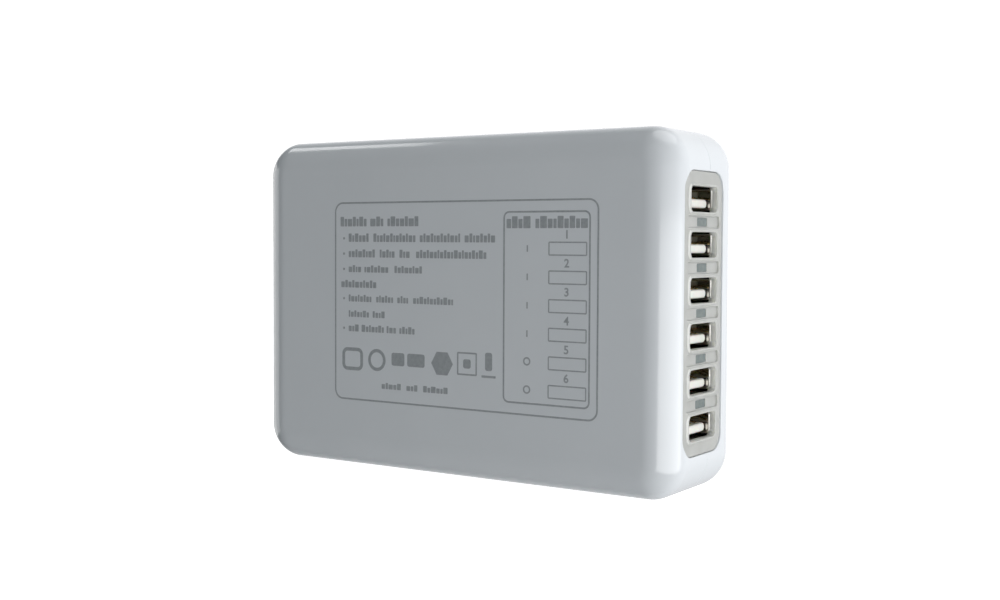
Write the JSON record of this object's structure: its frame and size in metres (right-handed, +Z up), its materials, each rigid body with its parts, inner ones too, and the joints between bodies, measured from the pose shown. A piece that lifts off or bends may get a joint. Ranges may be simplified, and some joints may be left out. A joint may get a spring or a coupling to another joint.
{
  "type": "usb desk charger",
  "caption": "Mains-powered desk charger: glossy rounded white case on its long edge, translucent end panel with a column of USB-A sockets, figure-eight inlet at the other end.",
  "frame": {"origin": "middle of the underside, where the charger rests on its long narrow edge", "axes": "+X towards the socket end, +Y from the printed face to the back face, +Z up along the column of sockets"},
  "size_m": [0.109, 0.031, 0.075],
  "materials": {
    "case_white": "polished, moulded",
    "panel_translucent": "frosted, translucent",
    "socket_steel": "plated, bright",
    "socket_plastic": "satin",
    "contact_gold": "plated, bright",
    "smoked_pipe": "smoked, translucent",
    "led_resin": "clear resin",
    "board_green": "solder mask",
    "insulation_film": "translucent film",
    "black_plastic": "moulded",
    "pin_nickel": "nickel plated",
    "heatsink_aluminium": "mill finish",
    "ferrite": "sintered",
    "copper_wire": "enamelled wire",
    "transformer_tape": "tape",
    "capacitor_sleeve": "heat-shrunk sleeve",
    "film_capacitor_yellow": "moulded box",
    "disc_capacitor_blue": "dipped epoxy",
    "screw_steel": "zinc plated",
    "print_grey": "pad-printed ink"
  },
  "bodies": {
    "root": {"front_cover": "case_white", "back_cover": "case_white", "socket_panel": "panel_translucent", "main_board": "board_green", "usb_board": "board_green", "insulation_sheet": "insulation_film", "inlet_housing": "black_plastic", "inlet_pin_1": "pin_nickel", "inlet_pin_2": "pin_nickel", "fuse": "black_plastic", "x_capacitor": "film_capacitor_yellow", "line_choke_core": "ferrite", "line_choke_winding": "copper_wire", "bridge_rectifier": "black_plastic", "bulk_capacitor_1": "capacitor_sleeve", "bulk_capacitor_2": "capacitor_sleeve", "transformer_core": "ferrite", "transformer_bobbin": "black_plastic", "transformer_winding": "transformer_tape", "y_capacitor": "disc_capacitor_blue", "optocoupler": "black_plastic", "controller_chip": "black_plastic", "output_capacitor_1": "capacitor_sleeve", "output_capacitor_2": "capacitor_sleeve", "output_choke_core": "ferrite", "output_choke_winding": "copper_wire", "switching_transistor": "black_plastic", "primary_heatsink": "heatsink_aluminium", "primary_heatsink_screw": "screw_steel", "output_rectifier": "black_plastic", "output_heatsink": "heatsink_aluminium", "output_heatsink_screw": "screw_steel", "board_header": "black_plastic", "usb_shell_1": "socket_steel", "usb_insulator_1": "socket_plastic", "usb_shell_2": "socket_steel", "usb_insulator_2": "socket_plastic", "usb_shell_3": "socket_steel", "usb_insulator_3": "socket_plastic", "usb_shell_4": "socket_steel", "usb_insulator_4": "socket_plastic", "usb_shell_5": "socket_steel", "usb_insulator_5": "socket_plastic", "usb_shell_6": "socket_steel", "usb_insulator_6": "socket_plastic", "light_pipe_1": "smoked_pipe", "led_1": "led_resin", "light_pipe_2": "smoked_pipe", "led_2": "led_resin", "light_pipe_3": "smoked_pipe", "led_3": "led_resin", "light_pipe_4": "smoked_pipe", "led_4": "led_resin", "light_pipe_5": "smoked_pipe", "led_5": "led_resin"}
  },
  "joints": []
}
